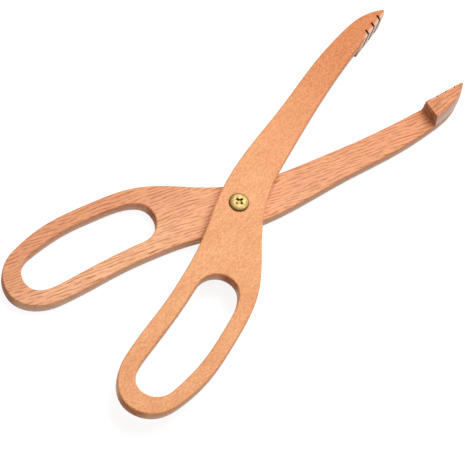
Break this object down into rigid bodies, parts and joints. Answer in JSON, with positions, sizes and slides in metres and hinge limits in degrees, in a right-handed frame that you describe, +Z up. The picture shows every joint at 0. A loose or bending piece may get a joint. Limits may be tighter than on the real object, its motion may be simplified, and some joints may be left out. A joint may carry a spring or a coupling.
{
  "type": "kitchen tongs",
  "caption": "Scissor-action beech serving tongs: two flat arms crossed on a brass pivot, with finger loops and deep jaws with grooved gripping faces.",
  "frame": {"origin": "on the pivot axis, level with the underside of the rear arm, which is the plane the tongs rest on", "axes": "+Y from the pivot to the jaws, midway between the two arms; +Z up through both arms, along the pivot axis; the front arm's blade is on the -X side"},
  "size_m": [0.1272, 0.2902, 0.0183],
  "materials": {
    "front_beech": "satin, oiled",
    "rear_beech": "satin, oiled",
    "pivot_brass": "polished"
  },
  "bodies": {
    "rear": {"rear_arm": "rear_beech", "rear_jaw": "rear_beech", "pivot_barrel": "pivot_brass", "pivot_screw": "pivot_brass", "spacer_washer": "pivot_brass"},
    "front": {"front_arm": "front_beech", "front_jaw": "front_beech"}
  },
  "joints": [
    {"name": "pivot", "type": "hinge", "parent": "rear", "child": "front", "pos_m": [0, 0, 0], "axis": [0, 0, 1], "range_deg": [-22, 58]}
  ]
}
